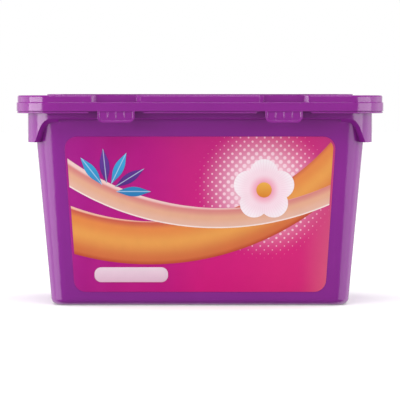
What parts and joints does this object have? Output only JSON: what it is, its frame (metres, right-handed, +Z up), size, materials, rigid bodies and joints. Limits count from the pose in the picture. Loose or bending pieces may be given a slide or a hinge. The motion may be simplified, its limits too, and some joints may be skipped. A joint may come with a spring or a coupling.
{
  "type": "laundry pod tub",
  "caption": "Drafted plastic tub with a hanging apron, a hinged stepped lid with finger tabs, a printed front label and detergent pods inside.",
  "frame": {"origin": "middle of the tub's flat foot, on the surface it stands on", "axes": "+Z up, +X along the width to the right as seen from the front, the labelled front faces -Y and the hinge is at +Y"},
  "size_m": [0.22, 0.13, 0.1268],
  "materials": {
    "tub_purple": "injection moulded polypropylene, satin gloss",
    "lid_purple": "injection moulded polypropylene, satin gloss",
    "label_film": "printed film, smooth satin",
    "ink_orange": "printed ink under varnish",
    "ink_peach": "printed ink under varnish",
    "ink_white": "printed ink under varnish",
    "ink_amber": "printed ink under varnish",
    "ink_blue": "printed ink under varnish",
    "ink_violet": "printed ink under varnish",
    "ink_pale": "printed ink under varnish",
    "pod_film": "clear soluble film over coloured liquid, wet gloss"
  },
  "bodies": {
    "tub": {"tub": "tub_purple", "front_label": "label_film", "print_ribbon_broad": "ink_orange", "print_ribbon_slim": "ink_peach", "print_petals": "ink_white", "print_blossom_middle": "ink_amber", "print_leaves_blue": "ink_blue", "print_leaves_violet": "ink_violet", "print_plaque": "ink_pale", "pod_01": "pod_film", "pod_02": "pod_film", "pod_03": "pod_film", "pod_04": "pod_film", "pod_05": "pod_film", "pod_06": "pod_film", "pod_07": "pod_film", "pod_08": "pod_film", "pod_09": "pod_film", "pod_10": "pod_film", "pod_11": "pod_film", "pod_12": "pod_film", "pod_13": "pod_film", "pod_14": "pod_film", "pod_15": "pod_film", "pod_16": "pod_film", "pod_17": "pod_film", "pod_18": "pod_film", "pod_19": "pod_film", "pod_20": "pod_film"},
    "lid": {"lid": "lid_purple"}
  },
  "joints": [
    {"name": "lid_hinge", "type": "hinge", "parent": "tub", "child": "lid", "pos_m": [0, 0.0616, 0.1132], "axis": [-1, 0, 0], "range_deg": [0, 110]}
  ]
}
